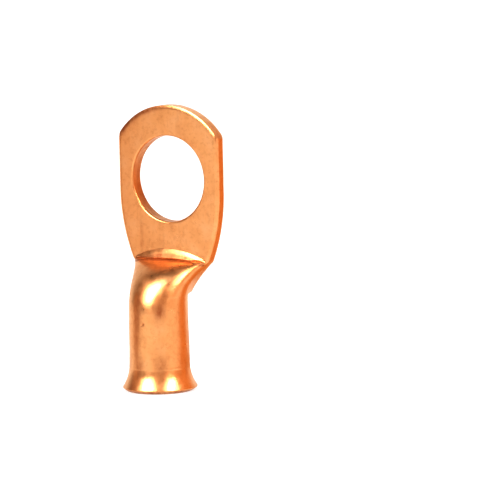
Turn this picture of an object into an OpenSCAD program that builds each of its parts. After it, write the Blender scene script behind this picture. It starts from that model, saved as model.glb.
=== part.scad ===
// Copper cable lug: one piece of tube with a belled wire barrel, pressed flat and
// pierced at the other end. The barrel's axis is Z, its mouth stands on Z = 0 and
// the flat palm faces -Y, with its back a little behind the barrel's back.

/* [Barrel] */
// Bore of the wire barrel
bore_d = 6.6; // [6.2:0.1:6.9]
// Outer diameter where the bell mouth begins
barrel_d = 9.44; // [9.3:0.02:9.8]
// Outer diameter at the neck, where flattening begins
neck_d = 9.24; // [9.1:0.02:9.4]
// Height of the neck above the mouth
neck_z = 12.5; // [12:0.1:13]

/* [Bell mouth] */
// Height of the bell above the mouth
bell_h = 4.2; // [3.8:0.1:4.6]
// Sweep radius of the bell's outside
bell_r = 6.35; // [6:0.05:7]
// Sweep radius of the bell's inside
throat_r = 8.4; // [8:0.1:9]
// Wall thickness at the lip
lip_t = 0.95; // [0.8:0.05:1.1]

/* [Palm] */
// Width between the straight sides
palm_w = 19; // [18.4:0.1:20]
// Thickness of the two pressed layers
palm_t = 2; // [1.8:0.05:2.2]
// Distance of the back face behind the barrel's axis
palm_back = 5.35; // [5.2:0.05:5.6]
// Radius of the sheared end, about the stud hole
end_r = 11.5; // [11:0.1:12.2]
// Radius of the sweep at each side of the root
side_r = 28; // [26:0.5:32]
// Height at which the sides turn straight
side_z = 31; // [30:0.1:31.5]
// Edge radius of the folded sides
fold_r = 0.6; // [0.4:0.05:0.8]
// Width of the roll-over that the shear leaves round the end's front
end_roll_w = 0.6; // [0.3:0.05:0.8]
// Depth of that roll-over
end_roll_d = 0.4; // [0.15:0.05:0.5]
// Height of the bend line's corners
bend_z = 20; // [19.7:0.1:20.4]

/* [Stud hole] */
// Diameter of the stud hole
stud_d = 13.5; // [10:0.1:14]
// Height of the stud hole's centre
stud_z = 32.8; // [32:0.1:33.5]

/* [Neck] */
// Height of the arched edge that the die leaves on the palm, at its middle
arch_z = 21.8; // [21.6:0.05:22]
// Drop of that edge from its middle to the folded sides
arch_drop = 1.8; // [1.7:0.05:2]
// Height of the cove between that edge and the shoulder
cove_h = 1.55; // [1.4:0.05:1.7]
// Depth of the cove behind the palm's front
cove_d = 0.75; // [0.6:0.05:0.9]
// Depth of the shoulder's lower control point in front of the axis
shoulder_y = 4.12; // [3.8:0.02:4.4]
// Height of the shoulder's lower control point
shoulder_z = 18.98; // [18.6:0.02:19.2]
// Height at which each side crease begins
crease_z = 15.2; // [15:0.1:15.6]
// Half width between the creases where they begin
crease_w = 3.5; // [3.2:0.1:3.8]
// Sag of each crease below a straight line
crease_sag = 0.36; // [0.2:0.02:0.5]

/* [Quality] */
// Facets round a full circle
$fn = 72; // [48:8:144]
// Rings along the neck
rings = 22; // [16:1:36]

/* [Hidden] */

copper = [0.86, 0.53, 0.31];
bore_r = bore_d / 2;
barrel_r = barrel_d / 2;
neck_r = neck_d / 2;
palm_front = palm_back - palm_t;
stud_r = stud_d / 2;
// Roll-over that the punch leaves round the front of the stud hole
stud_roll = 0.3;
// Middle of the palm's thickness, where the two layers of the tube meet
palm_mid = palm_back - palm_t / 2;
// Height where the back of the neck starts to lean toward the palm
back_z = 14;
// Height where the side creases have sunk in the round neck
crease_end_z = crease_z - 0.9;
// Drop of the cove's foot from its middle to the folded sides, and how late it comes
foot_drop = 0.9;
foot_power = 2.4;
// Part of the cove's depth that it takes up evenly, from a plain corner at the arched edge
cove_slope = 0.3;
// Height over which the neck's oval outline turns into the cove's
cove_blend = 0.4;
cove_rings = 8;
// Sharpness with which the neck's middle and its width change
mid_power = 1.9;
width_power = 3.3;
// Free height of the tools that cut, past the faces that they cut
past = 1;
// Depth at which a lofted skin sits inside the turned or flat form that it joins
seat = 0.02;

// The shoulder's profile on the plane of symmetry up to the cove's foot, as the control
// points of a cubic that ends as a nearly level shelf
foot_z = arch_z - cove_h;
shoulder_ys = [seat - neck_r, -shoulder_y, palm_front - 2 * cove_d, palm_front - cove_d];
shoulder_zs = [neck_z, shoulder_z, foot_z - 0.07, foot_z];
// The same for the front wall of the hollow neck, which closes between the layers
hollow_end_z = bend_z - 0.2;
inner_ys = [-bore_r - seat, 1.2 - shoulder_y, palm_front - 0.75, palm_mid - 0.2];
inner_zs = [neck_z, shoulder_z - 0.2, shoulder_z - 0.6, hollow_end_z];

function clamp(t) = min(max(t, 0), 1);
function ease(t) = t * t * (3 - 2 * t);
function lerp(a, b, t) = a + (b - a) * t;
function cubic(p, t) =
    (1 - t) ^ 3 * p[0] + 3 * (1 - t) ^ 2 * t * p[1] + 3 * (1 - t) * t ^ 2 * p[2] + t ^ 3 * p[3];

// Parameter at which a rising cubic reaches z, by halving
function cubic_at(zs, z, lo = 0, hi = 1, n = 30) =
    let (mid = (lo + hi) / 2)
    n == 0 ? mid
    : cubic(zs, mid) < z ? cubic_at(zs, z, mid, hi, n - 1)
    : cubic_at(zs, z, lo, mid, n - 1);

// Half width of the palm's outline at height z
function palm_half(z) =
    palm_w / 2 - side_r + sqrt(side_r ^ 2 - max(side_z - z, 0) ^ 2);

// Front of the cove at x and height z, between the arched edge and the shoulder's shelf
function cove_at(x, z) =
    let (
        side = abs(x) / palm_half(bend_z),
        edge = arch_z - arch_drop * side ^ 2,
        foot = foot_z - foot_drop * side ^ foot_power,
        q = clamp((edge - z) / (edge - foot))
    )
    palm_front - cove_d * q * lerp(cove_slope, 1, q);

// Front, back, middle and half width of the pressed tube at height z, creases apart
function front_at(z) = z < foot_z ? cubic(shoulder_ys, cubic_at(shoulder_zs, z)) : cove_at(0, z);
function back_at(z) = lerp(neck_r, palm_back, ease(clamp((z - back_z) / (bend_z - back_z)))) - seat;
function rise_at(z) = clamp((z - neck_z) / (bend_z - neck_z));
function mid_at(z) = palm_mid * ease(rise_at(z) ^ mid_power);
function half_at(z) = lerp(neck_r, palm_half(bend_z), rise_at(z) ^ width_power) - seat;

// Half width over the two creases at height z: nothing, then a quick rise, then a sagging line
function crease_at(z) =
    let (t = (z - crease_z) / (bend_z - crease_z))
    z < crease_z
    ? crease_w * clamp((z - crease_end_z) / (crease_z - crease_end_z))
    : lerp(crease_w, palm_half(bend_z) - seat, t) - 4 * crease_sag * t * (1 - t);

// Each shape below gives its reach toward a direction, then the point that it reaches there.
// Directions are angles from -Y, and a is one of them.
function round_reach(c, r, a) = c[0] * sin(a) - c[1] * cos(a) + r;
function round_point(c, r, a) = c + r * [sin(a), -cos(a)];
function oval_depth(z, a) = cos(a) > 0 ? mid_at(z) - front_at(z) : back_at(z) - mid_at(z);
function oval_scale(w, d, a) = sqrt((w * sin(a)) ^ 2 + (d * cos(a)) ^ 2);
function oval_reach(mid, w, d, a) = oval_scale(w, d, a) - mid * cos(a);
function oval_point(mid, w, d, a) =
    [w ^ 2 * sin(a), -d ^ 2 * cos(a)] / oval_scale(w, d, a) + [0, mid];

// The point of the neck's outline at height z that faces direction a. The outline is the
// tight band round an oval tube and the two rounded edges of each side crease.
function neck_point(z, a) =
    let (
        mid = mid_at(z),
        w = half_at(z),
        d = oval_depth(z, a),
        x = max(crease_at(z) - fold_r, 0),
        y = back_at(z) - fold_r - (a < 90 ? palm_t - 2 * (seat + fold_r) : 0)
    )
    round_reach([x, y], fold_r, a) > oval_reach(mid, w, d, a)
    ? round_point([x, y], fold_r, a)
    : oval_point(mid, w, d, a);

// A closed ring at height z from the points p of its right half, front to back
function ring(p, z) = concat(
    [for (q = p) [q[0], q[1], z]],
    [for (i = [len(p) - 2 : -1 : 1]) [-p[i][0], p[i][1], z]]);

facing = [for (i = [0 : $fn / 2]) i * 360 / $fn];

function neck_ring(z) = ring(concat(
    [[0, front_at(z)]],
    [for (i = [1 : len(facing) - 2]) neck_point(z, facing[i])],
    [[0, back_at(z)]]), z);

// The cove's ring at height z, from its front back to the middle of the palm
function cove_ring(z) =
    let (
        top = palm_half(bend_z) - 2 * seat,
        w = min(top, top * sqrt((arch_z - z) / arch_drop)),
        d = palm_mid - front_at(z) - seat,
        t = ease(clamp((z - bend_z) / cove_blend))
    )
    ring(concat(
        [for (a = facing) if (a <= 90)
            let (x = w * sin(a), oval = palm_mid - d * sqrt(1 - (x / top) ^ 2))
            [x, min(lerp(oval, cove_at(x, z) + seat, t), palm_mid - seat)]],
        [[w, palm_mid]]), z);

function hollow_ring(z) =
    let (
        front = cubic(inner_ys, cubic_at(inner_zs, z)),
        back = back_at(z) - lerp(neck_r - bore_r - 2 * seat, palm_t / 2, rise_at(z)),
        w = lerp(bore_r + seat, palm_half(bend_z) - palm_t, rise_at(z) ^ width_power)
    )
    ring([for (a = facing) [w * sin(a), lerp(back, front, (1 + cos(a)) / 2)]], z);

// A skin over a stack of rings that all have the same number of points
module loft(stack) {
    n = len(stack[0]);
    last = len(stack) - 1;
    polyhedron(
        points = [for (r = stack) each r],
        faces = concat(
            [[for (i = [0 : n - 1]) i]],
            [[for (i = [n - 1 : -1 : 0]) last * n + i]],
            [for (k = [0 : last - 1], i = [0 : n - 1])
                let (j = (i + 1) % n)
                each [[k * n + i, (k + 1) * n + i, k * n + j],
                      [k * n + j, (k + 1) * n + i, (k + 1) * n + j]]]));
}

// Wall of the barrel and of its bell mouth, right of the axis. The lip is square to the
// swept wall, and its inner corner is what stands on Z = 0.
module barrel_profile() {
    steps = $fn / 6;
    out_x = barrel_r + bell_r;
    lip = asin(bell_h / (bell_r + lip_t));
    in_x = out_x - (bell_r + lip_t) * cos(lip);
    throat_x = bore_r + throat_r;
    throat = acos((throat_x - in_x) / throat_r);
    throat_z = throat_r * sin(throat);
    polygon(concat(
        [[bore_r, neck_z], [neck_r, neck_z]],
        [for (i = [0 : steps]) let (a = lip * i / steps)
            [out_x - bell_r * cos(a), bell_h - bell_r * sin(a)]],
        [for (i = [0 : steps]) let (a = throat * (1 - i / steps))
            [throat_x - throat_r * cos(a), throat_z - throat_r * sin(a)]]));
}

module barrel() rotate_extrude() barrel_profile();

// Pressed neck between the round barrel and the flat palm, hollow to where its walls meet.
// Its lower end stands in the barrel's wall.
module neck() {
    foot_z = neck_z - past / 2;
    difference() {
        loft([for (i = [0 : rings]) neck_ring(lerp(foot_z, bend_z, i / rings))]);
        loft([for (i = [0 : rings]) hollow_ring(lerp(foot_z - past, hollow_end_z, i / rings))]);
    }
    loft([for (i = [0 : cove_rings]) cove_ring(lerp(bend_z, arch_z - 0.1, i / cove_rings))]);
}

// Half of the palm's section: w to the folded side, with its two rounded edges
module half_section(w) {
    square([w - fold_r, palm_t]);
    translate([0, fold_r]) square([w, palm_t - 2 * fold_r]);
    for (y = [fold_r, palm_t - fold_r]) translate([w - fold_r, y]) circle(r = fold_r);
}

// Great disc between the palm's faces, whose rounded rim is the sweep of one side
module side_disc() {
    translate([palm_w / 2 - side_r, palm_back, side_z])
        rotate([90, 0, 0]) rotate_extrude() half_section(side_r);
}

// Disc that bounds the palm's round end, with the roll-over of the shear round its front
module end_disc() {
    steps = $fn / 12;
    translate([0, palm_front, stud_z]) rotate([-90, 0, 0]) rotate_extrude()
        polygon(concat(
            [[0, palm_t + past], [0, -past], [end_r - end_roll_w, -past]],
            [for (i = [0 : steps]) let (a = 90 * i / steps)
                [end_r - end_roll_w * (1 - sin(a)), end_roll_d * (1 - cos(a))]],
            [[end_r, palm_t + past]]));
}

// Palm with a swept root, straight folded sides and a sheared round end
module palm() {
    // Root
    intersection() {
        side_disc();
        mirror([1, 0, 0]) side_disc();
        translate([-palm_w, palm_front - past, bend_z])
            cube([2 * palm_w, palm_t + 2 * past, side_z - bend_z]);
    }
    // Straight part and end
    intersection() {
        for (side = [0, 1])
            mirror([side, 0, 0])
                translate([0, palm_front, side_z]) linear_extrude(end_r + palm_w) half_section(palm_w / 2);
        end_disc();
    }
}

// What the punch takes out: the hole, and the roll-over at its front
module stud_hole() {
    translate([0, palm_back + past, stud_z])
        rotate([90, 0, 0]) cylinder(h = palm_t + 2 * past, r = stud_r);
    translate([0, palm_front, stud_z]) rotate([-90, 0, 0]) rotate_extrude()
        difference() {
            translate([0, -past]) square([stud_r + stud_roll, stud_roll + past]);
            translate([stud_r + stud_roll, stud_roll]) circle(r = stud_roll);
        }
}

module lug() {
    color(copper)
        difference() {
            union() {
                barrel();
                neck();
                palm();
            }
            stud_hole();
        }
}

lug();
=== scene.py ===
import math

import bmesh
import bpy
import numpy as np
from mathutils import Matrix, Vector, noise


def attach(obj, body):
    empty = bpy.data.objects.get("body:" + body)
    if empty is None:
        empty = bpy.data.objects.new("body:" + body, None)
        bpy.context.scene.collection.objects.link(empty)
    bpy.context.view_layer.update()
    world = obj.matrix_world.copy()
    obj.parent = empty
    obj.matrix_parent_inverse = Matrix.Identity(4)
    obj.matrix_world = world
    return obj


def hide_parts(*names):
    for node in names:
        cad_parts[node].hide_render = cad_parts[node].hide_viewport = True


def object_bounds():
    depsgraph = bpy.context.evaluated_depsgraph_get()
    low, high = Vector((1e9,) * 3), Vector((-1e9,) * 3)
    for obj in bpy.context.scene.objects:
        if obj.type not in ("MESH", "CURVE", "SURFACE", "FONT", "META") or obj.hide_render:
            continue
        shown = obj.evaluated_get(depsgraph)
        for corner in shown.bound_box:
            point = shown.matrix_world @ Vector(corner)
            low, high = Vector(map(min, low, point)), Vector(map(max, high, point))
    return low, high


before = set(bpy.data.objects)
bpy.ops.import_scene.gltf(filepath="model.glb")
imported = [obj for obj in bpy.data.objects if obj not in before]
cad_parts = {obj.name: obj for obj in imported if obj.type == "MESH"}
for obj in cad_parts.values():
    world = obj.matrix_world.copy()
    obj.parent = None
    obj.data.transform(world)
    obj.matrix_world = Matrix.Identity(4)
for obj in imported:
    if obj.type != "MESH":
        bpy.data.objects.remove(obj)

cad_low, cad_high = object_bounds()
MM = 0.001

# ---------------------------------------------------------------- dimensions, in mm
BORE_R, BARREL_R, NECK_R, NECK_Z = 3.3, 4.72, 4.62, 12.5
BELL_H, BELL_R, THROAT_R, LIP_T = 4.2, 6.35, 8.4, 0.95
PALM_T, PALM_BACK, END_R, SIDE_R, SIDE_Z = 2.0, 5.35, 11.5, 28.0, 31.0
FOLD_R, BEND_Z = 0.6, 20.0
ARCH_Z, ARCH_DROP, COVE_H, COVE_D = 21.8, 1.8, 1.55, 0.54   # arched edge on the palm, cove under it
COVE_FOOT_Z, FOOT_DROP, FOOT_POWER, COVE_SLOPE = ARCH_Z - COVE_H, 0.9, 2.4, 1.4
STUD_R, STUD_Z, STUD_ROLL = 6.75, 32.8, 0.3
CREASE_Z, CREASE_END_Z, CREASE_W, CREASE_SAG = 15.2, 14.3, 3.5, 0.36
CREASE_START_Z, CREASE_SOFT, CREASE_MEET = 13.9, 0.25, 0.925   # their gentle start in the neck
CREASE_TURN_LOW, CREASE_TURN = math.radians(143), math.radians(135)   # its direction from -Y
MID_POWER, WIDTH_POWER = 1.9, 3.3   # how late the section moves back, and widens
TUBE_END_Z = 18.5         # the smudged tube reaches up to here
BACK_Z = 14.0             # the back starts to move out to the palm's plane
PALM_FRONT, PALM_MID = PALM_BACK - PALM_T, PALM_BACK - PALM_T / 2
PALM_HALF = 9.5
SHOULDER_YS = (-NECK_R, -4.12, PALM_FRONT - 1.5, PALM_FRONT - COVE_D)
SHOULDER_ZS = (NECK_Z, 18.98, COVE_FOOT_Z - 0.07, COVE_FOOT_Z)
HOLLOW_END_Z = BEND_Z - 0.2
INNER_YS = (-BORE_R, -2.9, PALM_FRONT - 0.75, PALM_MID - 0.2)
INNER_ZS = (NECK_Z, 18.8, 18.4, HOLLOW_END_Z)
COVE_BLEND = 0.4          # height over which the section turns from an oval to the cove
PLAIN_Z, FOOT_Z = 21.9, 24.0   # the palm is flat from here; the plate with the stud hole begins
END_ROLL_W, END_ROLL_D, END_BURR = 0.6, 0.14, 0.06   # edges of the sheared end, front and back
LIP_EDGE = 0.2            # worn edges of the bell's lip
LEDGE_PASSES, LEDGE_X = 30, 3.6   # smoothing of the creases' start, and how far out it begins
RIDGE, RIDGE_W, RIDGE_LIFT = 0.08, 0.12, 0.22   # the die's fine line over the cove's foot
DENT_TURN, DENT_Z, DENT_DEEP = 3.0, 10.9, 0.12   # a small knock on the barrel's front
GROOVE_Z, RIM_Z, RING_REACH, RING_DEEP = 3.6, 3.85, 0.12, 0.022   # the tool's ring round the bell

# Steps along the parts of half a ring: flat front, front fold, side wall, back fold, flat back
FLAT, FOLD, WALL = 56, 8, 6
FRONT_STEPS = FLAT + FOLD + WALL + FOLD // 2      # from the front to the middle of the back fold
BACK_STEPS = FLAT + FOLD // 2                     # from there to the back
HALF_STEPS = FRONT_STEPS + BACK_STEPS
EVEN_Z, LEAN_Z = 6.3, 7.0                         # mesh lines lean toward the creases from here
PLATE_LEAD = 0.3                                  # and stand as on the plate from this far under it


def ease(t):
    t = np.clip(t, 0, 1)
    return t * t * (3 - 2 * t)


def lerp(a, b, t):
    return a + (b - a) * t


def hump(value, middle, reach):
    return math.exp(-((value - middle) / reach)**2)


def cubic(p, t):
    return (1 - t)**3 * p[0] + 3 * (1 - t)**2 * t * p[1] + 3 * (1 - t) * t**2 * p[2] + t**3 * p[3]


def cubic_at(zs, z):
    t = np.linspace(0, 1, 4001)
    return np.interp(z, cubic(zs, t), t)


# ---------------------------------------------------------------- outline of the pressed neck
def side_x(z, inset=0.0):
    """Half the palm's width at height z, inset from its side by a distance square to its outline."""
    return PALM_HALF - SIDE_R + math.sqrt((SIDE_R - inset)**2 - max(SIDE_Z - z, 0)**2)


def arch_z(x):
    """Height of the arched edge that the die leaves on the palm."""
    return ARCH_Z - ARCH_DROP * (x / side_x(BEND_Z))**2


def foot_z(x):
    """Height of the cove's foot, where the shoulder's shelf meets it."""
    return COVE_FOOT_Z - FOOT_DROP * (np.abs(x) / side_x(BEND_Z))**FOOT_POWER


def cove_at(x, z):
    """Front of the cove that the die leaves between the arched edge and the shoulder's shelf."""
    q = np.clip((arch_z(x) - z) / (arch_z(x) - foot_z(x)), 0, 1)
    return PALM_FRONT - COVE_D * q * lerp(COVE_SLOPE, 1, q)


def front_at(z):
    return cubic(SHOULDER_YS, cubic_at(SHOULDER_ZS, z)) if z < COVE_FOOT_Z else cove_at(0, z)


def back_at(z):
    return lerp(NECK_R, PALM_BACK, ease((z - BACK_Z) / (BEND_Z - BACK_Z)))


def rise_at(z):
    return min(max((z - NECK_Z) / (BEND_Z - NECK_Z), 0), 1)


def crease_at(z):
    if z < CREASE_Z:
        start = ease((z - CREASE_START_Z) / (CREASE_Z + CREASE_SOFT - CREASE_START_Z))
        return CREASE_W * start / CREASE_MEET
    t = (z - CREASE_Z) / (BEND_Z - CREASE_Z)
    return lerp(CREASE_W, side_x(BEND_Z), t) - 4 * CREASE_SAG * t * (1 - t)


def tube_points(z, a):
    """The pressed tube's outline at height z, as the point that faces each angle a from -Y: a tight
    band round an oval and the two rounded edges of each side crease."""
    mid = PALM_MID * ease(rise_at(z)**MID_POWER)
    w = lerp(NECK_R, side_x(BEND_Z), rise_at(z)**WIDTH_POWER)
    s, c = np.sin(a), np.cos(a)
    d = np.where(c > 0, mid - front_at(z), back_at(z) - mid)
    scale = np.sqrt((w * s)**2 + (d * c)**2)
    oval = np.stack([w * w * s / scale, mid - d * d * c / scale], 1)
    x = max(crease_at(z) - FOLD_R, 0)
    y = back_at(z) - FOLD_R - np.where(c > 0, PALM_T - 2 * FOLD_R, 0)
    fold = np.stack([x + FOLD_R * s, y - FOLD_R * c], 1)
    on_fold = x * s - y * c + FOLD_R > scale - mid * c
    return np.where(on_fold[:, None], fold, oval)


def length_along(line):
    return np.concatenate([[0], np.cumsum(np.hypot(*np.diff(line, axis=0).T))])


def resample(line, parts):
    """The points of a polyline at the given parts of its length."""
    along = length_along(line)
    return np.stack([np.interp(np.array(parts) * along[-1], along, line[:, i]) for i in (0, 1)], 1)


def fold_points(z, a):
    """Edge of the palm's folded side at height z, as the point that faces each angle a from -Y."""
    front = a < math.pi / 2
    x = [side_x(z, FOLD_R * (1 - math.sin(q))) for q in a]
    y = np.where(front, PALM_FRONT + FOLD_R, PALM_BACK - FOLD_R) - FOLD_R * np.cos(a)
    return np.stack([x, y], 1)


def root_lines(z):
    """Half the palm's section over the shoulder: front to the back fold's middle, and on to the back."""
    edge = fold_points(z, np.linspace(0, math.pi * 0.75, 60))
    x = side_x(z, FOLD_R) * np.sin(np.linspace(0, math.pi / 2, 400))
    w, d = side_x(BEND_Z), PALM_MID - front_at(z)
    t = ease((z - BEND_Z) / COVE_BLEND)
    oval, edge_oval = (PALM_MID - d * np.sqrt(np.clip(1 - (p / w)**2, 0, 1)) for p in (x, edge[:, 0]))
    y = np.minimum(lerp(oval, cove_at(x, z), t), PALM_FRONT)
    shape = lerp(edge_oval, cove_at(edge[:, 0], z), t)
    proud = (edge[:, 1] < PALM_MID) & (shape < PALM_FRONT)
    edge[proud, 1] = np.minimum(edge, shape[:, None])[proud, 1]
    front = np.concatenate([np.stack([x, y], 1)[:-1], edge])
    back = np.concatenate([fold_points(z, np.linspace(math.pi * 0.75, math.pi, 20)), [[0, PALM_BACK]]])
    return front, back


def foot_half(z):
    """Half the section that the plate stands on, with its steps at the ends of each flat."""
    flat = side_x(z, FOLD_R)
    quarter = math.pi / 2
    x = flat * np.arange(FLAT) / FLAT
    wall_y = lerp(PALM_FRONT + FOLD_R, PALM_BACK - FOLD_R, np.arange(1, WALL) / WALL)
    return np.concatenate([
        np.stack([x, np.full(FLAT, PALM_FRONT)], 1),
        fold_points(z, np.linspace(0, quarter - 1e-9, FOLD + 1)),
        np.stack([np.full(WALL - 1, side_x(z)), wall_y], 1),
        fold_points(z, np.linspace(quarter + 1e-9, 2 * quarter, FOLD + 1)),
        np.stack([flat - flat * np.arange(1, FLAT + 1) / FLAT, np.full(FLAT, PALM_BACK)], 1)])


def outer_half(z):
    """Half the outline at height z from the front to the back, with one point always on the crease."""
    front_parts, back_parts = (np.arange(n) / n for n in (FRONT_STEPS, BACK_STEPS))
    if z > FOOT_Z - 0.01:
        return foot_half(z)
    if z > PLAIN_Z:
        foot, t = foot_half(z), ease((z - PLAIN_Z) / (FOOT_Z - PLATE_LEAD - PLAIN_Z))
        along = length_along(foot[:FRONT_STEPS + 1])
        front_parts = lerp(front_parts, along[:-1] / along[-1], t)
        along = length_along(foot[FRONT_STEPS:])
        back_parts = lerp(back_parts, along[:-1] / along[-1], t)
    if z > BEND_Z:
        front, back = root_lines(z)
    else:
        even = math.pi * FRONT_STEPS / HALF_STEPS
        corner = lerp(even, CREASE_TURN_LOW, ease((z - LEAN_Z) / (CREASE_END_Z - LEAN_Z)))
        part = (np.clip(z, CREASE_END_Z, CREASE_Z) - CREASE_END_Z) / (CREASE_Z - CREASE_END_Z)
        corner = lerp(corner, CREASE_TURN, part)
        front = tube_points(z, np.linspace(0, corner, 1500))
        back = tube_points(z, np.linspace(corner, math.pi, 800))
        front[0] = 0, front_at(z)
        back[-1] = 0, back_at(z)
    return np.concatenate([resample(front, front_parts), resample(back, back_parts), back[-1:]])


# ---------------------------------------------------------------- mesh, from rings and rows
vertices, faces = [], []


def add_points(points):
    start = len(vertices)
    vertices.extend(tuple(p) for p in points)
    return list(range(start, len(vertices)))


def whole_ring(half, z):
    """A closed ring at height z from its right half."""
    left = half[-2:0:-1] * (-1, 1)
    return add_points(np.column_stack([np.concatenate([half, left]), np.full(2 * len(half) - 2, z)]))


def circle_ring(r, z):
    a = np.linspace(0, math.pi, HALF_STEPS + 1)
    return whole_ring(np.stack([r * np.sin(a), -r * np.cos(a)], 1), z)


def bridge(a, b, closed=True):
    for i in range(len(a) if closed else len(a) - 1):
        j = (i + 1) % len(a)
        faces.append((a[i], a[j], b[j], b[i]))


def corner_arc(before, corner, after, reach, steps=4):
    """Points that round a corner of a profile."""
    before, corner, after = (np.array(p, float) for p in (before, corner, after))
    first = corner + (before - corner) * reach / np.hypot(*(before - corner))
    last = corner + (after - corner) * reach / np.hypot(*(after - corner))
    t = np.linspace(0, 1, steps + 1)[:, None]
    return (1 - t)**2 * first + 2 * t * (1 - t) * corner + t * t * last


def arc_profile(center, r, start, end, steps):
    a = np.linspace(start, end, steps + 1)
    return np.stack([center[0] - r * np.cos(a), center[1] + r * np.sin(a)], 1)


# Inside, from the hollow's end down to the mouth
def hollow_half(z):
    a = np.linspace(0, math.pi, HALF_STEPS + 1)
    front = cubic(INNER_YS, cubic_at(INNER_ZS, z))
    back = back_at(z) - lerp(NECK_R - BORE_R, PALM_T / 2, rise_at(z))
    w = lerp(BORE_R, side_x(BEND_Z) - PALM_T, rise_at(z)**WIDTH_POWER)
    return np.stack([w * np.sin(a), lerp(back, front, (1 + np.cos(a)) / 2)], 1)


lip_angle = math.asin(BELL_H / (BELL_R + LIP_T))
bell_center = (BARREL_R + BELL_R, BELL_H)
lip_in = (bell_center[0] - (BELL_R + LIP_T) * math.cos(lip_angle), 0.0)
lip_out = (bell_center[0] - BELL_R * math.cos(lip_angle), BELL_H - BELL_R * math.sin(lip_angle))
throat_x = BORE_R + THROAT_R
throat_angle = math.acos((throat_x - lip_in[0]) / THROAT_R)
throat_z = THROAT_R * math.sin(throat_angle)

throat = arc_profile((throat_x, throat_z), THROAT_R, 0, -throat_angle, 14)
bell = arc_profile(bell_center, BELL_R, -lip_angle, 0, 30)
lip = np.concatenate([corner_arc(throat[-2], lip_in, lip_out, LIP_EDGE),
                      corner_arc(lip_in, lip_out, bell[1], LIP_EDGE)])
wall_z = np.concatenate([np.linspace(BELL_H, 10.5, 22)[:-1], np.linspace(10.5, 11.7, 16)[:-1],
                         np.linspace(11.7, NECK_Z, 5)])
outside = np.stack([lerp(BARREL_R, NECK_R, (wall_z - BELL_H) / (NECK_Z - BELL_H)), wall_z], 1)

rings = [whole_ring(hollow_half(z), z) for z in np.linspace(HOLLOW_END_Z, NECK_Z, 18)]
end = rings[0]
right = end[:HALF_STEPS + 1]
left = [end[-i % len(end)] for i in range(HALF_STEPS + 1)]
for k in range(HALF_STEPS // 2):
    faces.append((right[k], right[HALF_STEPS - k], right[HALF_STEPS - k - 1], right[k + 1]))
    faces.append((left[k], left[k + 1], left[HALF_STEPS - k - 1], left[HALF_STEPS - k]))

bore = [(BORE_R, z) for z in np.linspace(NECK_Z, throat_z, 6)[1:-1]]
rings += [circle_ring(r, z) for r, z in bore]
rings += [circle_ring(r, z) for r, z in throat[:-1]]
rings += [circle_ring(r, z) for r, z in lip]
rings += [circle_ring(r, z) for r, z in bell[1:]]
rings += [circle_ring(r, z) for r, z in outside[1:8]]

# Outside, from the barrel up to the plate's foot: closest where the creases and the cove begin
LEVEL_STOPS, LEVEL_STEPS = (NECK_Z, 13.8, 15.4, 19.5, PLAIN_Z, FOOT_Z), (7, 23, 41, 41, 13)
levels = [*outside[8:-1, 1]]
for low, high, steps in zip(LEVEL_STOPS, LEVEL_STOPS[1:], LEVEL_STEPS):
    levels += [*np.linspace(low, high, steps + 1)[:-1]]
for z in [*levels, FOOT_Z]:
    if z < NECK_Z:
        half = outer_half(NECK_Z)
        a = np.arctan2(half[:, 0], -half[:, 1])
        even = np.linspace(0, math.pi, HALF_STEPS + 1)
        a = lerp(even, a, ease((z - EVEN_Z) / (NECK_Z - EVEN_Z)))
        r = lerp(BARREL_R, NECK_R, (z - BELL_H) / (NECK_Z - BELL_H))
        rings.append(whole_ring(np.stack([r * np.sin(a), -r * np.cos(a)], 1), z))
    else:
        rings.append(whole_ring(outer_half(z), z))
for a, b in zip(rings, rings[1:]):
    bridge(a, b)


# ---------------------------------------------------------------- plate round the stud hole
def plate_front(x, z):
    """Front of the plate: flat, rounded at its folded sides and at its sheared end."""
    return PALM_FRONT + side_drop(x, z) + end_drop(x, z, END_ROLL_W, END_ROLL_D)


def plate_back(x, z):
    return PALM_BACK - side_drop(x, z) - end_drop(x, z, END_BURR, END_BURR)


def side_drop(x, z):
    reach = math.hypot(abs(x) - (PALM_HALF - SIDE_R), max(SIDE_Z - z, 0))
    over = min(max(reach - (SIDE_R - FOLD_R), 0), FOLD_R)
    return FOLD_R - math.sqrt(FOLD_R**2 - over**2)


def end_drop(x, z, width, depth):
    over = min(max((math.hypot(x, z - STUD_Z) - END_R) / width + 1, 0), 1) if z > STUD_Z else 0
    return depth * over**2


corner_z = STUD_Z + math.sqrt(END_R**2 - PALM_HALF**2)
corner_a = math.asin(PALM_HALF / END_R)
SIDE_COLUMNS, END_COLUMNS, BLEND = 64, 96, 7

# One column for each direction round the hole: its end on the outline, and how much its edge is the
# sheared end's instead of the folded side's. A column over the neck has no edge.
columns = []
flat = side_x(FOOT_Z, FOLD_R)
for i in range(-FLAT, FLAT + 1):
    columns.append(((flat * i / FLAT, FOOT_Z), None))
bottom_columns = len(columns)
for i in range(SIDE_COLUMNS):
    s = 1 - (1 - i / SIDE_COLUMNS)**1.25
    z = lerp(FOOT_Z, corner_z, s)
    t = max(0, (i - SIDE_COLUMNS + BLEND) / BLEND) * 0.5
    columns.append(((side_x(z), z), t))
for i in range(END_COLUMNS + 1):
    u = i / END_COLUMNS
    a = corner_a * (1 - 2 * (u - 0.05 * math.sin(2 * math.pi * u)))
    steps_in = min(i, END_COLUMNS - i)
    t = 0.5 + 0.5 * min(1, steps_in / BLEND)
    columns.append(((END_R * math.sin(a), STUD_Z + END_R * math.cos(a)), t))
for i in range(SIDE_COLUMNS - 1, -1, -1):
    (x, z), t = columns[bottom_columns + i]
    columns.append(((-x, z), t))

FACE_ROWS, HOLE_ROWS, ROLL_ROWS = 24, 6, 6


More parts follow.
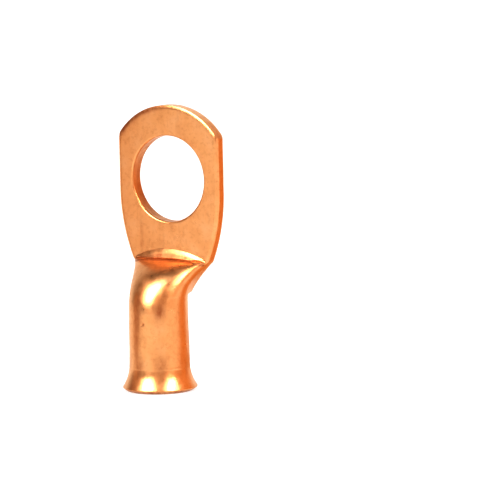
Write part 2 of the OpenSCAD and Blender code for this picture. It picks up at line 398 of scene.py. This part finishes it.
def column_points(column):
    """A column's front and back face points out from the hole, and its edge from front to back."""
    (x, z), t = column
    if t is None:
        inner = np.array([x, z])
        edge_path = []
    else:
        outer = np.array([x, z])
        level = np.array([-math.copysign(1, x), 0.0])
        radial = np.array([-x, STUD_Z - z]) / math.hypot(x, STUD_Z - z)
        inward = lerp(level, radial, ease(t))
        inward /= np.hypot(*inward)
        width = lerp(FOLD_R, END_ROLL_W, ease(t))
        a = np.linspace(0, math.pi / 2, FOLD + 1)
        if t == 0:
            edge_x = [math.copysign(side_x(z, FOLD_R * (1 - math.sin(q))), x) for q in a]
            edge_path = [np.array([across_x, z]) for across_x in edge_x]
        else:
            edge_path = [outer + inward * width * (1 - math.sin(q)) for q in a]
        inner = edge_path[0]
    out = (inner - (0, STUD_Z)) / np.hypot(*(inner - (0, STUD_Z)))
    front_start = np.array([0, STUD_Z]) + out * (STUD_R + STUD_ROLL)
    back_start = np.array([0, STUD_Z]) + out * STUD_R
    rows = np.linspace(0, 1, FACE_ROWS + 1)
    front = [lerp(front_start, inner, s) for s in rows]
    back = [lerp(back_start, inner, s) for s in rows]
    front = [(p[0], plate_front(*p), p[1]) for p in front]
    back = [(p[0], plate_back(*p), p[1]) for p in back]
    hole = []
    for s in np.linspace(0, 1, HOLE_ROWS + 1):
        p = np.array([0, STUD_Z]) + out * STUD_R
        hole.append((p[0], lerp(PALM_BACK, PALM_FRONT + STUD_ROLL, s), p[1]))
    for q in np.linspace(0, math.pi / 2, ROLL_ROWS + 1)[1:]:
        p = np.array([0, STUD_Z]) + out * (STUD_R + STUD_ROLL * (1 - math.cos(q)))
        hole.append((p[0], PALM_FRONT + STUD_ROLL * (1 - math.sin(q)), p[1]))
    edge = []
    if edge_path:
        y_front, y_back = plate_front(*edge_path[-1]), plate_back(*edge_path[-1])
        edge += [(p[0], plate_front(*p), p[1]) for p in edge_path]
        p = edge_path[-1]
        edge += [(p[0], lerp(y_front, y_back, s), p[1]) for s in np.arange(1, WALL) / WALL]
        edge += [(p[0], plate_back(*p), p[1]) for p in edge_path[::-1]]
    return front, back, hole, edge


made = [column_points(c) for c in columns]
loops = [add_points(p) for p in zip(*[m[1][::-1] for m in made])]
loops += [add_points(p) for p in zip(*[m[2] for m in made])]
loops += [add_points(p) for p in zip(*[m[0] for m in made])]
for a, b in zip(loops, loops[1:]):
    bridge(a, b)

# Folded sides and sheared end: one strip that starts and ends on the foot's two corners
lines = [add_points(p) for p in zip(*[m[3] for m in made[bottom_columns:]])]
for a, b in zip(lines, lines[1:]):
    bridge(a, b, closed=False)

# The die leaves a groove along the cove's foot, with a fine raised line over it
for k, (x, y, z) in enumerate(vertices):
    if 18.6 < z < 21.5 and y < PALM_FRONT:
        lift = z - foot_z(x)
        fade = ease((6.6 - abs(x)) / 2)
        y += fade * RIDGE * (hump(lift, -0.02, RIDGE_W) - hump(lift, RIDGE_LIFT, RIDGE_W))
        vertices[k] = x, y, z

mesh = bpy.data.meshes.new("lug_body")
mesh.from_pydata([(x * MM, y * MM, z * MM) for x, y, z in vertices], [], faces)
bm = bmesh.new()
bm.from_mesh(mesh)
bmesh.ops.remove_doubles(bm, verts=bm.verts, dist=3e-6)
bmesh.ops.dissolve_degenerate(bm, edges=bm.edges, dist=1e-7)
bmesh.ops.recalc_face_normals(bm, faces=bm.faces)

# Soften the ledge under each crease, as pressed copper has no sharp inner corner
ledge = [v for v in bm.verts if 13.6 * MM < v.co.z < 15.0 * MM and v.co.xy.length > 3.8 * MM
         and abs(v.co.x) > LEDGE_X * MM]
for _ in range(LEDGE_PASSES):
    bmesh.ops.smooth_vert(bm, verts=ledge, factor=0.5, use_axis_x=True, use_axis_y=True, use_axis_z=False)
bm.to_mesh(mesh)
bm.free()

lug = bpy.data.objects.new("lug_body", mesh)
bpy.context.scene.collection.objects.link(lug)

# ---------------------------------------------------------------- uneven surface of pressed tube
normals = np.zeros(len(mesh.vertices) * 3)
mesh.vertex_normals.foreach_get("vector", normals)
normals = normals.reshape(-1, 3)
places = np.zeros(len(mesh.vertices) * 3)
mesh.vertices.foreach_get("co", places)
places = places.reshape(-1, 3)


def turn_of(p):
    """Direction of a point round the barrel's axis, in degrees from the front toward +X."""
    return math.degrees(math.atan2(p[0], -p[1]))


def waviness(p):
    """How far in metres the surface stands off its true form at p: slow waves, a tool ring, a knock."""
    z = p[2] / MM
    on_tube = ease((z - 1) / 2) * (1 - ease((z - 21.5) / 3))
    wave = noise.noise(Vector(p) * 260) * 0.035
    wave += noise.noise(Vector(p) * 620 + Vector((7, 3, 1))) * 0.012
    plate = noise.noise(Vector((p[0] * 420, 5, p[2] * 300))) * 0.008
    uneven = 0.6 + noise.noise(Vector(p) * 900)
    ring = (hump(z, RIM_Z, RING_REACH) - hump(z, GROOVE_Z, RING_REACH)) * RING_DEEP * uneven
    around, along = (turn_of(p) - DENT_TURN) * math.radians(NECK_R), z - DENT_Z
    dent = hump(around - along * 0.8, 0, 0.16) * hump(along + around * 0.8, 0, 0.3) * DENT_DEEP
    return (wave * on_tube + plate * (1 - on_tube) * ease((z - 20) / 3) + ring - dent) * MM


# The bore keeps its true form
inside = np.hypot(places[:, 0], places[:, 1]) < 3.6 * MM
inside &= places[:, 2] < 19 * MM
lifts = np.array([0 if hidden else waviness(p) for p, hidden in zip(places, inside)])
places += normals * lifts[:, None]
places = np.clip(places, np.array(cad_low), np.array(cad_high))
mesh.vertices.foreach_set("co", places.ravel())
mesh.update()
mesh.shade_smooth()
mesh.set_sharp_from_angle(angle=math.radians(38))

# ---------------------------------------------------------------- tarnish and painted shade, as an amount at each vertex
# Smudges on the tube: direction round it, height, half width in degrees, half height, strength.
# The first nine are on the front and follow the real lug's; the last four are on its sides and back.
SMUDGES = ((38, 12.9, 10, 1.5, 1.0), (-9, 15.4, 8, 1.9, 0.9), (-9, 11.6, 8, 2.4, 0.6),
           (-12, 7.0, 5, 2.6, 0.35), (-6, 3.2, 7, 1.3, 0.75), (-17, 1.1, 9, 1.2, 0.7),
           (DENT_TURN, DENT_Z, 2.8, 0.3, 1.0), (38, 4.6, 12, 1.2, 0.7), (-4, 4.6, 9, 1.2, 0.5),
           (118, 9.0, 12, 3.2, 0.6), (196, 13.5, 14, 2.6, 0.7), (-96, 6.0, 10, 3.0, 0.6),
           (158, 4.6, 9, 1.8, 0.5))


def smudges_and_lip_shade(p, z):
    """Smudges, and painted shade on the bottom edge of the bell's lip."""
    # Painted shade: the lip's bottom edge is darkened for the shaded floor at its foot that it mirrors
    amount = 1.8 * ease((0.65 - z) / 0.35)
    for turn, height, half_turn, half_height, strength in SMUDGES:
        away = (turn_of(p) - turn + 180) % 360 - 180
        amount += strength * hump(away, 0, half_turn) * hump(z, height, half_height)
    return amount


def cove_painted_shade(x, z):
    """Painted shade along the cove's two edges and in its lower part, where the crease is shaded, clear
    of the die's fine line.
    """
    # Painted shade: the creases between the palm, the cove and the shelf are darkened as if shaded
    edge, foot = arch_z(x), foot_z(x)
    part = (edge - z) / (edge - foot)
    low = ease((part - 0.35) / 0.25) * ease((1 - part) / 0.1) * (1 - hump(z, foot + RIDGE_LIFT, 0.07))
    return low + 0.9 * hump(z, foot - 0.05, 0.13) + 0.7 * hump(z, edge, 0.10)


def end_left_painted_shade(x, z):
    """Painted shade on the left part of the sheared end, for the dark reflection that this side shows."""
    turn = math.degrees(math.atan2(x, z - STUD_Z))
    over = math.hypot(x, z - STUD_Z) - END_R
    left = ease((turn + 62) / 12) * ease((6 - turn) / 22)
    return left * (0.9 * ease((over + 1.0) / 0.9) + 0.25 * ease((over + 1.8) / 1.4))


# Brown tarnish smudges, with painted shade on the lip, in the cove, in the stud hole and on the sheared
# end
def tarnish_and_shade_at(p, n):
    x, y, z = p / MM
    amount = 0.0
    if z < TUBE_END_Z:
        amount += smudges_and_lip_shade(p, z)
    elif z < PLAIN_Z and y < PALM_FRONT:
        amount += cove_painted_shade(x, z)
    # The stud hole's wall is darkened, more toward the back: partly the duller torn metal of the pierced
    # wall, partly painted shade inside the hole
    if z > PLAIN_Z and abs(n[1]) < 0.8 and math.hypot(x, z - STUD_Z) < STUD_R + 0.2:
        amount += lerp(0.4, 0.7, ease((y - PALM_FRONT - 0.4) / 0.8))
    # Painted shade on the sheared end's left part
    if z > STUD_Z + 3:
        amount += end_left_painted_shade(x, z)
    return min(amount, 1.0)


amounts = np.array([tarnish_and_shade_at(p, n) for p, n in zip(places, normals)])
layer = mesh.attributes.new("tarnish_and_shade", "FLOAT", "POINT")
layer.data.foreach_set("value", amounts)

# ---------------------------------------------------------------- copper
copper = bpy.data.materials.new("copper")
copper.use_nodes = True
tree = copper.node_tree
shader = tree.nodes["Principled BSDF"]
shader.inputs["Metallic"].default_value = 1.0


def node(kind, **settings):
    made_node = tree.nodes.new(kind)
    for key, value in settings.items():
        setattr(made_node, key, value)
    return made_node


def link(a, b):
    tree.links.new(a, b)


def noise_node(scale, detail, stretch=(1, 1, 1), roughness=0.55):
    mapping = node("ShaderNodeMapping")
    mapping.inputs["Scale"].default_value = stretch
    link(coords.outputs["Object"], mapping.inputs["Vector"])
    texture = node("ShaderNodeTexNoise")
    texture.inputs["Scale"].default_value = scale
    texture.inputs["Detail"].default_value = detail
    texture.inputs["Roughness"].default_value = roughness
    link(mapping.outputs["Vector"], texture.inputs["Vector"])
    return texture.outputs["Fac"]


def ramp(factor, *stops):
    made_ramp = node("ShaderNodeValToRGB")
    elements = made_ramp.color_ramp.elements
    while len(elements) < len(stops):
        elements.new(0.5)
    for element, (position, color) in zip(elements, stops):
        element.position = position
        element.color = (*color, 1)
    link(factor, made_ramp.inputs["Fac"])
    return made_ramp.outputs["Color"]


def math_node(operation, a, b, clamp=False):
    made_math = node("ShaderNodeMath", operation=operation, use_clamp=clamp)
    for slot, value in ((0, a), (1, b)):
        if isinstance(value, (int, float)):
            made_math.inputs[slot].default_value = value
        else:
            link(value, made_math.inputs[slot])
    return made_math.outputs[0]


def mixed(factor, first, second, blend_type="MIX"):
    made_mix = node("ShaderNodeMix", data_type="RGBA", blend_type=blend_type)
    for slot, value in ((0, factor), (6, first), (7, second)):
        if isinstance(value, tuple):
            made_mix.inputs[slot].default_value = (*value, 1)
        elif isinstance(value, float):
            made_mix.inputs[slot].default_value = value
        else:
            link(value, made_mix.inputs[slot])
    return made_mix.outputs[2]


def grey(value):
    return value, value, value


coords = node("ShaderNodeTexCoord")
patches = noise_node(330, 3)
COPPER_DEEP, COPPER_MID, COPPER_PALE = (0.80, 0.41, 0.175), (0.85, 0.455, 0.205), (0.87, 0.495, 0.245)
color = ramp(patches, (0.25, COPPER_DEEP), (0.5, COPPER_MID), (0.75, COPPER_PALE))

# Fine grain of the rolled metal, and faint lines along the tube from when it was drawn
fine = ramp(noise_node(1700, 6, roughness=0.7), (0.3, (0.84, 0.74, 0.68)), (0.5, (1, 1, 1)))
lines = ramp(noise_node(1300, 4, stretch=(1, 1, 0.10)), (0.3, (0.86, 0.80, 0.75)), (0.5, (1, 1, 1)))
color = mixed(0.7, color, fine, "MULTIPLY")
color = mixed(0.15, color, lines, "MULTIPLY")

# Tarnish and painted shade: the amount at each vertex, broken up, and thin brown clouds everywhere
amount = node("ShaderNodeAttribute", attribute_name="tarnish_and_shade").outputs["Fac"]
broken = ramp(noise_node(1100, 5, stretch=(1, 1, 0.6)), (0.30, grey(0.35)), (0.62, grey(1.0)))
clouds = ramp(noise_node(420, 5, stretch=(1, 1, 0.45)), (0.60, grey(0.0)), (0.82, grey(0.5)))
brown = math_node("ADD", math_node("MULTIPLY", amount, broken), clouds, clamp=True)
color = mixed(brown, color, (0.46, 0.17, 0.07))
link(color, shader.inputs["Base Color"])

rough = ramp(noise_node(900, 5), (0.3, grey(0.27)), (0.7, grey(0.38)))
link(math_node("ADD", rough, math_node("MULTIPLY", brown, 0.10)), shader.inputs["Roughness"])

bump = node("ShaderNodeBump")
bump.inputs["Strength"].default_value = 0.4
bump.inputs["Distance"].default_value = 0.00004
grain = noise_node(2600, 5)
streaks = math_node("MULTIPLY", noise_node(1500, 3, stretch=(1, 1, 0.08)), 0.5)
link(math_node("ADD", grain, streaks), bump.inputs["Height"])
link(bump.outputs["Normal"], shader.inputs["Normal"])
mesh.materials.append(copper)

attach(lug, "root")
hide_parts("lug")

# ---------------------------------------------------------------- camera at the photo's angle
AZIMUTH, ELEVATION, ROLL = math.radians(35.7385), math.radians(7.227), math.radians(-1.418)
DISTANCE, PAN = 0.65252, math.radians(-1.2722)
aim = Vector((0, 0, 0.022))
back = Vector((math.sin(AZIMUTH) * math.cos(ELEVATION), -math.cos(AZIMUTH) * math.cos(ELEVATION),
               math.sin(ELEVATION)))
across = Vector((math.cos(AZIMUTH), math.sin(AZIMUTH), 0))
level_back = Vector((math.sin(AZIMUTH), -math.cos(AZIMUTH), 0))
basis = Matrix((across, back.cross(across), back)).transposed()
turned = basis @ Matrix.Rotation(ROLL, 3, "Z") @ Matrix.Rotation(PAN, 3, "Y")

camera = bpy.data.objects.new("camera", bpy.data.cameras.new("camera"))
camera.data.lens = 301.74
camera.data.sensor_width = 36
camera.matrix_world = Matrix.Translation(aim + back * DISTANCE) @ turned.to_4x4()
bpy.context.scene.collection.objects.link(camera)
bpy.context.scene.camera = camera


# ---------------------------------------------------------------- floor and studio light
def plain_material(name, sockets):
    """A material for the studio, of constants alone."""
    made_material = bpy.data.materials.new(name)
    made_material.use_nodes = True
    for socket, value in sockets.items():
        made_material.node_tree.nodes["Principled BSDF"].inputs[socket].default_value = value
    return made_material


floor_mesh = bpy.data.meshes.new("floor")
floor_mesh.from_pydata([(-6, -6, 0), (6, -6, 0), (6, 6, 0), (-6, 6, 0)], [], [(0, 1, 2, 3)])
floor = bpy.data.objects.new("floor", floor_mesh)
bpy.context.scene.collection.objects.link(floor)
floor_mesh.materials.append(plain_material("paper", {
    "Base Color": (0.3, 0.3, 0.3, 1), "Roughness": 1.0,
    "Emission Color": (1, 1, 1, 1), "Emission Strength": 0.74}))

world = bpy.data.worlds.new("studio")
world.use_nodes = True
bpy.context.scene.world = world
sky = world.node_tree
direction = sky.nodes.new("ShaderNodeTexCoord")


def toward(way, low, high):
    """0 to 1 as a direction of the studio turns from low to high along a way."""
    along = sky.nodes.new("ShaderNodeVectorMath")
    along.operation = "DOT_PRODUCT"
    along.inputs[1].default_value = way
    sky.links.new(direction.outputs["Generated"], along.inputs[0])
    turn = sky.nodes.new("ShaderNodeMapRange")
    turn.interpolation_type = "SMOOTHSTEP"
    turn.inputs["From Min"].default_value = low
    turn.inputs["From Max"].default_value = high
    sky.links.new(along.outputs["Value"], turn.inputs["Value"])
    return turn.outputs["Result"]


def blend_colors(factor, first, second):
    blended = sky.nodes.new("ShaderNodeMix")
    blended.data_type = "RGBA"
    sky.links.new(factor, blended.inputs[0])
    for slot, value in ((6, first), (7, second)):
        if isinstance(value, tuple):
            blended.inputs[slot].default_value = (*value, 1)
        else:
            sky.links.new(value, blended.inputs[slot])
    return blended.outputs[2]


# The studio's colour by side: in front of the lug, at its left and right, behind it and overhead
FRONT, LEFT, RIGHT = (0.55, 0.34, 0.22), (0.22, 0.13, 0.08), (0.80, 0.36, 0.10)
BEHIND, CEILING = (1.15, 1.15, 1.15), (0.10, 0.05, 0.03)
studio = blend_colors(toward(across, 0.3, 0.9), FRONT, RIGHT)
studio = blend_colors(toward(-across, 0.3, 0.9), studio, LEFT)
studio = blend_colors(toward((0, 0, 1), 0.66, 0.90), studio, CEILING)
studio = blend_colors(toward(-level_back, 0.35, 0.8), studio, BEHIND)
sky.links.new(studio, sky.nodes["Background"].inputs["Color"])


def soft_box(name, azimuth, elevation, distance, size, power):
    """A rectangular light that faces the lug; azimuth is from the camera's, to its right."""
    a, e = AZIMUTH + math.radians(azimuth), math.radians(elevation)
    place = Vector((math.sin(a) * math.cos(e), -math.cos(a) * math.cos(e), math.sin(e))) * distance
    light = bpy.data.lights.new(name, "AREA")
    light.shape = "RECTANGLE"
    light.size, light.size_y = size
    light.energy = power
    lamp = bpy.data.objects.new(name, light)
    facing = place.to_track_quat("Z", "Y").to_matrix().to_4x4()
    lamp.matrix_world = Matrix.Translation(aim + place) @ facing
    bpy.context.scene.collection.objects.link(lamp)


def card(name, azimuth, near, far, width, height, color):
    """A bent card beside the lug, on the floor and then upright, that shows in its reflections alone."""
    a = AZIMUTH + math.radians(azimuth)
    way = Vector((math.sin(a), -math.cos(a), 0))
    side = Vector((math.cos(a), math.sin(a), 0)) * width / 2
    off_floor = Vector((0, 0, 0.0002))
    line = [way * near + off_floor, way * far + off_floor, way * far + Vector((0, 0, height))]
    card_mesh = bpy.data.meshes.new(name)
    card_mesh.from_pydata([p + s for p in line for s in (-side, side)], [], [(0, 1, 3, 2), (2, 3, 5, 4)])
    card_mesh.materials.append(plain_material(name, {
        "Base Color": (0, 0, 0, 1), "Specular IOR Level": 0,
        "Emission Color": (*color, 1), "Emission Strength": 1}))
    piece = bpy.data.objects.new(name, card_mesh)
    piece.visible_camera = piece.visible_diffuse = piece.visible_shadow = False
    bpy.context.scene.collection.objects.link(piece)


card("warm_card", 103, 0.016, 0.045, 0.034, 0.05, (0.98, 0.46, 0.15))
card("warm_floor_card", 140, 0.012, 0.036, 0.030, 0.0004, (0.86, 0.41, 0.09))
card("dark_card", -96, 0.030, 0.060, 0.026, 0.04, (0.66, 0.37, 0.21))
soft_box("key", -49, 40, 3, (1.6, 2.0), 118)
soft_box("fill", 45, 42, 3, (1.05, 2.1), 84)
view = bpy.context.scene.view_settings
view.view_transform = "Standard"
view.gamma = 0.75
